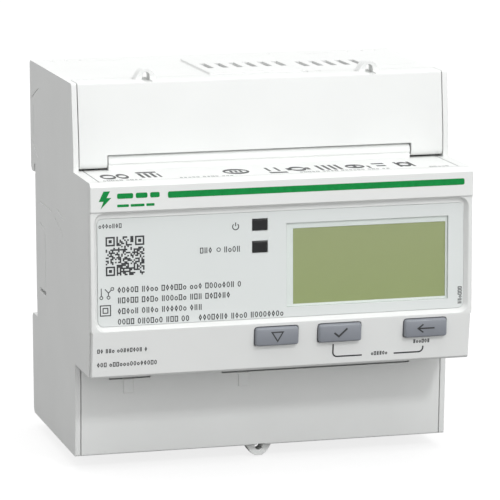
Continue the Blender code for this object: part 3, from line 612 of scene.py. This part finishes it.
# Each line of filler is its start, stop, foot, height, pen and, where they differ, its words' lengths.
PANEL_LINES = (
    (-42.9, -37.0, 12.05, 1.05, 0.17, (8,)),
    (-38.7, -9.7, -2.8, 1.35, 0.21),
    (-38.7, -12.1, -5.2, 1.35, 0.21),
    (-38.7, -18.5, -7.68, 1.35, 0.21),
    (-38.7, -21.4, -10.1, 1.35, 0.21, (4, 6, 3)),
    (-19.9, 0.6, -10.1, 1.35, 0.21, (7, 4, 8)),
)
PULSE_DROP, PULSE_HEIGHT, PULSE_PEN = 0.9, 1.35, 0.20
PULSE_BEFORE, PULSE_AFTER = (-19.5, -16.1), (-13.9, -9.4)
PULSE_RING_U, PULSE_RING_DROP = -15.15, 0.2
PULSE_RING, PULSE_RING_PEN = 0.42, 0.17
CLASS_CENTRE, CLASS_HALVES, CLASS_PEN = (-41.53, -6.73), (1.16, 0.55), 0.22
WIRE_PEN = 0.2
WIRE_LINES = (
    [(-42.45, -1.6), (-42.45, -3.35)],
    [(-41.6, -1.8), (-40.8, -2.7), (-40.8, -3.4)],
    [(-40.8, -2.7), (-40.2, -2.1)],
)
WIRE_RING, WIRE_RING_PEN = 0.34, 0.18
WIRE_RINGS = ((-42.45, -3.75), (-40.8, -3.75), (-39.9, -1.8))
POWER_U, POWER_RADIUS, POWER_PEN = -11.15, 0.72, 0.22
POWER_DROP = 0.2
POWER_ARC = range(130, 411, 20)
POWER_STEM_FOOT, POWER_STEM_HEAD = 0.1, 0.75
SIDE_LINE = (-9.5, -4.9, 0.34, 0.95, 0.17, (9,))


def in_code_corner(i, j):
    return any(ci - 1 <= i <= ci + CODE_CORNER and cj - 1 <= j <= cj + CODE_CORNER
               for ci, cj in CODE_CORNERS)


def print_matrix_code():
    """A chequer of random cells with open corner squares: it encodes nothing."""
    code = Print(facing_front(PANEL_LOW.y))
    draw = random.Random(CODE_SEED)
    for j in range(CODE_CELLS):
        run = None
        for i in range(CODE_CELLS + 1):
            dark = i < CODE_CELLS and draw.random() < CODE_DARK and not in_code_corner(i, j)
            if dark and run is None:
                run = i
            elif not dark and run is not None:
                u, v = CODE_LEFT + run * CODE_CELL, CODE_TOP - j * CODE_CELL
                code.bar(u, CODE_LEFT + i * CODE_CELL, v - CODE_CELL * CODE_ROW_FILL, v)
                run = None
    half = CODE_CELL / 2
    for ci, cj in CODE_CORNERS:
        u, v = CODE_LEFT + ci * CODE_CELL, CODE_TOP - cj * CODE_CELL
        far_u, far_v = u + CODE_CORNER * CODE_CELL - half, v - CODE_CORNER * CODE_CELL + half
        code.stroke([(u + half, v - half), (u + half, far_v), (far_u, far_v), (far_u, v - half)],
                    CODE_CELL, closed=True)
        code.bar(u + 2 * CODE_CELL, u + 4 * CODE_CELL, v - 4 * CODE_CELL, v - 2 * CODE_CELL)
    code.piece("panel_matrix", INK_DARK)


def print_pulse_label(marks, draw):
    """Filler and a small ring beside the lower lens."""
    centre = middle_height_mm("pulse_lens")
    foot = centre - PULSE_DROP
    filler_line(marks, draw, *PULSE_BEFORE, foot, PULSE_HEIGHT, PULSE_PEN, (4,))
    marks.oval(PULSE_RING_U, centre - PULSE_RING_DROP, PULSE_RING, PULSE_RING, PULSE_RING_PEN)
    filler_line(marks, draw, *PULSE_AFTER, foot, PULSE_HEIGHT, PULSE_PEN, (9,))


def print_symbols(place):
    """A double square, a wiring sign and, beside the upper lens, a power sign."""
    icons = Print(place)
    u, v = CLASS_CENTRE
    for half in CLASS_HALVES:
        icons.stroke(box_outline(u - half, u + half, v - half, v + half), CLASS_PEN, closed=True)
    (first_line, *lines), (first_ring, *rings) = WIRE_LINES, WIRE_RINGS
    icons.stroke(first_line, WIRE_PEN)
    icons.oval(*first_ring, WIRE_RING, WIRE_RING, WIRE_RING_PEN)
    for line in lines:
        icons.stroke(line, WIRE_PEN)
    for ring in rings:
        icons.oval(*ring, WIRE_RING, WIRE_RING, WIRE_RING_PEN)
    centre = middle_height_mm("status_lens")
    icons.stroke([(POWER_U + POWER_RADIUS * math.cos(a), centre - POWER_DROP + POWER_RADIUS * math.sin(a))
                  for a in map(math.radians, POWER_ARC)], POWER_PEN)
    icons.stroke([(POWER_U, centre - POWER_STEM_FOOT), (POWER_U, centre + POWER_STEM_HEAD)], POWER_PEN)
    icons.piece("panel_symbols", INK_DARK)


def print_panel():
    """Filler where the panel's rating lines are, and plain symbols beside them."""
    draw = random.Random(PANEL_SEED)
    place = facing_front(PANEL_LOW.y)
    marks = Print(place)
    for line in PANEL_LINES:
        filler_line(marks, draw, *line)
    print_pulse_label(marks, draw)
    marks.piece("panel_print", INK_DARK)
    print_symbols(place)
    side = Print(lambda u, v, out: Vector((PANEL_HIGH.x - v * MM, PANEL_LOW.y - out * MM, u * MM)))
    filler_line(side, draw, *SIDE_LINE)
    side.piece("panel_side_print", INK_DARK)


# Sloping strip

STRIP_SEED = 9
# Two points ahead of the strip, which give its slope
STRIP_PROBES = ((0.024, -0.2, -0.0130), (0.024, -0.2, -0.0210))
STRIP_LINES = (
    (-43.6, -31.8, -16.45, 1.0, 0.19, (2, 3, 8)),
    (-43.6, -29.0, -19.75, 1.08, 0.19, (3, 14)),
    (31.2, 35.2, -18.25, 0.92, 0.19, (9,)),
    (21.1, 25.6, -20.6, 0.92, 0.19, (9,)),
)
BRACKET_PEN = 0.34
BRACKET_LEFT, BRACKET_RIGHT = 12.9, 32.6
BRACKET_CENTRE, BRACKET_FOOT = -19.4, -20.4
BRACKET_LEFT_HEAD, BRACKET_RIGHT_HEAD = (11.9, -17.35), (33.6, -19.0)
BRACKET_GAP = (18.9, 26.6)


def print_strip():
    """Filler and the two-key bracket on the sloping strip under the panel."""
    upper, lower = (surface_at("front_frame", probe, (0, 1, 0)) for probe in STRIP_PROBES)
    slope = (lower.y - upper.y) / (lower.z - upper.z)
    lean = math.atan(-slope)

    def place(u, v, out):
        y = upper.y + (v * MM - upper.z) * slope
        return Vector((u * MM, y - out * MM * math.cos(lean), v * MM - out * MM * math.sin(lean)))

    def corner(centre, turns):
        return [(centre + math.cos(a), BRACKET_CENTRE + math.sin(a)) for a in map(math.radians, turns)]

    draw = random.Random(STRIP_SEED)
    marks = Print(place)
    for line in STRIP_LINES:
        filler_line(marks, draw, *line)
    marks.piece("strip_print", INK_DARK)
    bracket = Print(place)
    left = corner(BRACKET_LEFT, (180, 202, 225, 248, 270))
    bracket.stroke([BRACKET_LEFT_HEAD, *left, (BRACKET_GAP[0], BRACKET_FOOT)], BRACKET_PEN)
    right = corner(BRACKET_RIGHT, (270, 292, 315, 338, 360))
    bracket.stroke([(BRACKET_GAP[1], BRACKET_FOOT), *right, BRACKET_RIGHT_HEAD], BRACKET_PEN)
    bracket.piece("strip_bracket", INK_DARK)


# Keys. Each is its node, body, piece and strokes, and a stroke is its points, width and whether it closes.

KEY_SYMBOLS = (
    ("button_down", "key_down", "key_symbol_down", (
        ([(-1.3, 1.0), (1.3, 1.0), (0.0, -1.1)], 0.30, True),)),
    ("button_ok", "key_ok", "key_symbol_ok", (
        ([(-1.5, 0.1), (-0.45, -0.8), (1.6, 1.0)], 0.42, False),)),
    ("button_esc", "key_esc", "key_symbol_esc", (
        ([(2.0, 0.0), (-1.8, 0.0)], 0.34, False),
        ([(-0.7, 0.95), (-1.95, 0.0), (-0.7, -0.95)], 0.34, False))),
)


def on_key(node):
    low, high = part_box(node)
    middle = (low + high) / 2
    return lambda u, v, out: Vector((middle.x + u * MM, low.y - out * MM, middle.z + v * MM))


def print_keys():
    """A plain symbol on each key: down, confirm and back."""
    for node, body, name, strokes in KEY_SYMBOLS:
        symbol = Print(on_key(node))
        for points, width, closed in strokes:
            symbol.stroke(points, width, closed)
        symbol.piece(name, INK_DARK, body)


# Nose top

TOP_SEED = 21
# A point above the nose's top, which gives its height
TOP_PROBE = (0.0, -0.055, 0.2)
TOP_OUTLINE_PEN = 0.16
TOP_OUTLINE = [(-42.4, -46.2), (-42.4, -60.9), (42.3, -60.9), (42.3, -46.2)]
TOP_RING_V = -54.4
TOP_RING_WIDE, TOP_RING_TALL = 0.5, 1.9
# Each ring is its centre and its two radii.
TOP_RINGS = ((-38.9, 1.5, 2.6), (-35.6, 1.1, 2.6), (-9.0, 2.8, 2.8), (5.6, 1.7, 2.3), (19.3, 2.0, 1.9),
             (31.2, 1.3, 2.4))
TOP_BARS = (
    (-31.6, -30.9, -57.6, -51.4), (-30.2, -29.5, -57.6, -51.4), (-28.8, -28.1, -57.6, -51.4),
    (-31.6, -26.9, -50.9, -49.4), (-27.4, -26.9, -57.6, -52.4), (-10.4, -9.8, -55.6, -53.2),
    (-9.3, -8.7, -55.6, -53.2), (-8.2, -7.6, -55.6, -53.2), (-1.6, -1.0, -56.2, -51.0),
    (0.6, 1.2, -56.2, -51.0), (-2.0, 2.2, -59.2, -57.6), (3.0, 3.9, -56.0, -53.0),
    (7.6, 8.5, -56.0, -53.0), (10.5, 11.2, -57.8, -50.8), (12.1, 12.8, -57.8, -50.8),
    (13.6, 14.3, -57.8, -50.8), (15.0, 15.7, -57.8, -50.8), (18.9, 19.7, -55.4, -53.4),
    (22.0, 22.6, -57.4, -54.4), (24.0, 26.9, -52.6, -51.2), (24.4, 26.6, -55.8, -54.4),
    (29.4, 30.0, -57.8, -50.8), (32.6, 33.2, -57.8, -50.8),
)
TOP_LINES = (
    (-41.3, -32.2, -60.4, 1.3, 0.22),
    (-23.5, -10.2, -60.4, 1.3, 0.22),
    (4.8, 27.0, -60.0, 1.3, 0.22),
    (35.8, 41.1, -60.2, 1.3, 0.22),
)


def print_nose_top():
    """The plate on the nose's top: its outline and a row of abstract marks."""
    top = surface_at("front_frame", TOP_PROBE, (0, 0, -1))

    def place(u, v, out):
        return Vector((u * MM, v * MM, top.z + out * MM))

    outline = Print(place)
    outline.stroke(TOP_OUTLINE, TOP_OUTLINE_PEN)
    outline.piece("top_plate_outline", INK_FAINT)
    marks = Print(place)
    for u, ru, depth in TOP_RINGS:
        marks.oval(u, TOP_RING_V, ru, depth, TOP_RING_WIDE, TOP_RING_TALL, steps=20)
    for bar in TOP_BARS:
        marks.bar(*bar)
    marks.piece("top_plate_marks", INK_DARK)
    draw = random.Random(TOP_SEED)
    fine = Print(place)
    for line in TOP_LINES:
        filler_line(fine, draw, *line)
    fine.piece("top_plate_filler", INK_PALE)


# Display surround

MASK_OPENING = (2.5, 39.0, -7.57, 9.95)
MASK_MARGIN = 0.03
MASK_THICKNESS = 0.06
MASK_BEHIND = 0.10


def display_mask():
    """The pale surround printed behind the window, which frames the display."""
    low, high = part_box("display_window")
    mask = Print(facing_front(high.y + MASK_BEHIND * MM), MASK_THICKNESS)
    outer = box_outline(low.x / MM - MASK_MARGIN, high.x / MM + MASK_MARGIN,
                        low.z / MM - MASK_MARGIN, high.z / MM + MASK_MARGIN)
    mask.band(outer, box_outline(*MASK_OPENING))
    mask.piece("display_mask", MASK_WHITE)


# Latch spring

WIRE = 0.28 * MM
COIL_TURNS = 9.0
COIL_STEPS = 252
COIL_SIDES = 10
COIL_FLAT_TURNS = 0.8


def coil_line(low, high):
    """The wire's centre line as a function of its step: a helix with flat end turns."""
    centre = (low + high) / 2
    radius = (high.x - low.x) / 2 - WIRE
    foot, head = low.z + WIRE, high.z - WIRE

    def at(k):
        share = k / COIL_STEPS
        climb = (share * COIL_TURNS - COIL_FLAT_TURNS) / (COIL_TURNS - 2 * COIL_FLAT_TURNS)
        climb = min(1.0, max(0.0, climb))
        a = 2 * math.pi * COIL_TURNS * share
        return Vector((centre.x + radius * math.cos(a), centre.y + radius * math.sin(a),
                       foot + (head - foot) * climb))

    return at, centre


def coil_mesh(low, high):
    at, centre = coil_line(low, high)
    bm = bmesh.new()
    rings = []
    for k in range(COIL_STEPS + 1):
        here = at(k)
        along = (at(min(k + 1, COIL_STEPS)) - at(max(k - 1, 0))).normalized()
        out = Vector((here.x - centre.x, here.y - centre.y, 0)).normalized()
        across = along.cross(out).normalized()
        out = across.cross(along)
        ring = []
        for s in range(COIL_SIDES):
            a = 2 * math.pi * s / COIL_SIDES
            ring.append(bm.verts.new(here + (out * math.cos(a) + across * math.sin(a)) * WIRE))
        rings.append(ring)
    for a, b in zip(rings, rings[1:]):
        for s in range(COIL_SIDES):
            bm.faces.new((a[s], a[(s + 1) % COIL_SIDES], b[(s + 1) % COIL_SIDES], b[s]))
    bm.faces.new(rings[0][::-1])
    bm.faces.new(rings[-1])
    bmesh.ops.recalc_face_normals(bm, faces=bm.faces)
    mesh = bpy.data.meshes.new("latch_coil")
    bm.to_mesh(mesh)
    bm.free()
    mesh.polygons.foreach_set("use_smooth", [True] * len(mesh.polygons))
    return mesh


def coil_spring():
    """The latch's spring, wound with flat end turns."""
    low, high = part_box("latch_spring")
    coil = add_piece("latch_coil", coil_mesh(low, high), FINISHES["spring_steel"], "meter")
    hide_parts("latch_spring")
    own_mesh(coil)


# Camera, light and floor

def camera():
    yaw, pitch, roll = (math.radians(a) for a in (CAMERA_YAW, CAMERA_PITCH, CAMERA_ROLL))
    forward = Vector((math.sin(yaw) * math.cos(pitch), math.cos(yaw) * math.cos(pitch), -math.sin(pitch)))
    right = Vector((math.cos(yaw), -math.sin(yaw), 0.0))
    up = right.cross(forward)
    turned = math.cos(roll) * right + math.sin(roll) * up
    up = -math.sin(roll) * right + math.cos(roll) * up
    data = bpy.data.cameras.new("camera")
    data.sensor_width = CAMERA_SENSOR
    data.lens = CAMERA_LENS
    data.clip_start, data.clip_end = CAMERA_NEAR, CAMERA_FAR
    obj = bpy.data.objects.new("camera", data)
    scene.collection.objects.link(obj)
    matrix = Matrix((turned, up, -forward)).transposed().to_4x4()
    matrix.translation = Vector(CAMERA_PLACE)
    obj.matrix_world = matrix
    scene.camera = obj


def sun(name, azimuth, elevation, strength, spread, colour):
    """A soft lamp in the direction (azimuth, elevation)."""
    light = bpy.data.lights.new(name, "SUN")
    light.energy = strength
    light.angle = math.radians(spread)
    light.color = colour
    obj = bpy.data.objects.new(name, light)
    scene.collection.objects.link(obj)
    a, e = math.radians(azimuth), math.radians(elevation)
    away = Vector((math.sin(a) * math.cos(e), -math.cos(a) * math.cos(e), math.sin(e)))
    obj.rotation_euler = away.to_track_quat("Z", "Y").to_euler()


def studio():
    """The lamps, and a sky that is white to the eye and a little dimmer as a light."""
    world = bpy.data.worlds.new("studio")
    world.use_nodes = True
    tree = world.node_tree
    background = tree.nodes["Background"]
    path = tree.nodes.new("ShaderNodeLightPath")
    level = tree.nodes.new("ShaderNodeMapRange")
    level.inputs["To Min"].default_value = AMBIENT
    level.inputs["To Max"].default_value = 1.0
    tree.links.new(path.outputs["Is Camera Ray"], level.inputs["Value"])
    tree.links.new(level.outputs[0], background.inputs["Strength"])
    background.inputs["Color"].default_value = (1.0, 1.0, 1.0, 1)
    scene.world = world
    scene.view_settings.view_transform = "Standard"
    for lamp in LAMPS:
        sun(*lamp)


def floor_material():
    """Pale paper: to the eye it is near white, so only a faint shadow lies on it."""
    t = Tree("floor_paper")
    path = t.add("ShaderNodeLightPath").outputs["Is Camera Ray"]
    seen = t.tinted((FLOOR_SEEN, FLOOR_SEEN, FLOOR_SEEN), amount=0.004, size_mm=60.0)
    t.set(Base_Color=t.blend(path, (FLOOR_BOUNCE, FLOOR_BOUNCE, FLOOR_BOUNCE, 1), seen), Roughness=0.9)
    t.set(Specular_IOR_Level=0.0, Emission_Color=(1, 1, 1, 1))
    t.set(Emission_Strength=t.maths("MULTIPLY", path, FLOOR_GLOW))
    return t.material


def lay_floor():
    low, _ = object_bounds()
    bpy.ops.mesh.primitive_plane_add(size=FLOOR_SIZE, location=(0, 0, low.z - FLOOR_GAP))
    floor = bpy.context.object
    floor.name = "floor"
    floor.data.materials.append(floor_material())


dress_nodes()
print_header()
print_matrix_code()
print_panel()
print_strip()
print_keys()
print_nose_top()
display_mask()
coil_spring()
camera()
studio()
lay_floor()
